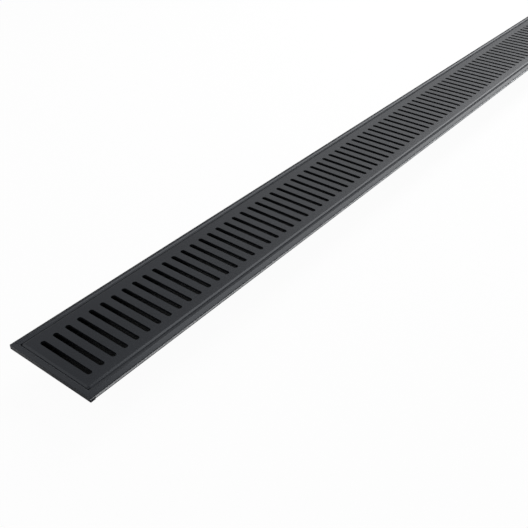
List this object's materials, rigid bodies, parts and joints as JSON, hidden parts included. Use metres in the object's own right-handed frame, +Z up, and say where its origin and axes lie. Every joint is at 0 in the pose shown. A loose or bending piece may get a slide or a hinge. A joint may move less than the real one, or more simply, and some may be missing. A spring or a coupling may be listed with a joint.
{
  "type": "linear channel drain",
  "caption": "Slim linear floor drain: slotted grate in a bevelled frame on a shallow trough pan with an outlet spigot beneath.",
  "frame": {"origin": "under the middle of the drain, level with the outlet's lower end", "axes": "+X along the drain, +Z up through the grate, +Y across to the back rail"},
  "size_m": [1.198, 0.1, 0.04],
  "materials": {
    "grate": "satin black anodised",
    "rail": "satin black anodised",
    "pan_sheet": "black coated sheet with bare cut edges",
    "cushion_rubber": "matt",
    "outlet_plastic": "fine moulded",
    "seal_rubber": "matt",
    "nut_plastic": "fine moulded"
  },
  "bodies": {
    "root": {"grate": "grate", "grate_cushions": "cushion_rubber", "trough_pan": "pan_sheet", "side_rail_front": "rail", "side_rail_back": "rail", "end_rail_left": "rail", "end_rail_right": "rail", "outlet_body": "outlet_plastic", "outlet_flange_seal": "seal_rubber", "outlet_washer": "seal_rubber", "outlet_back_nut": "nut_plastic"}
  },
  "joints": []
}
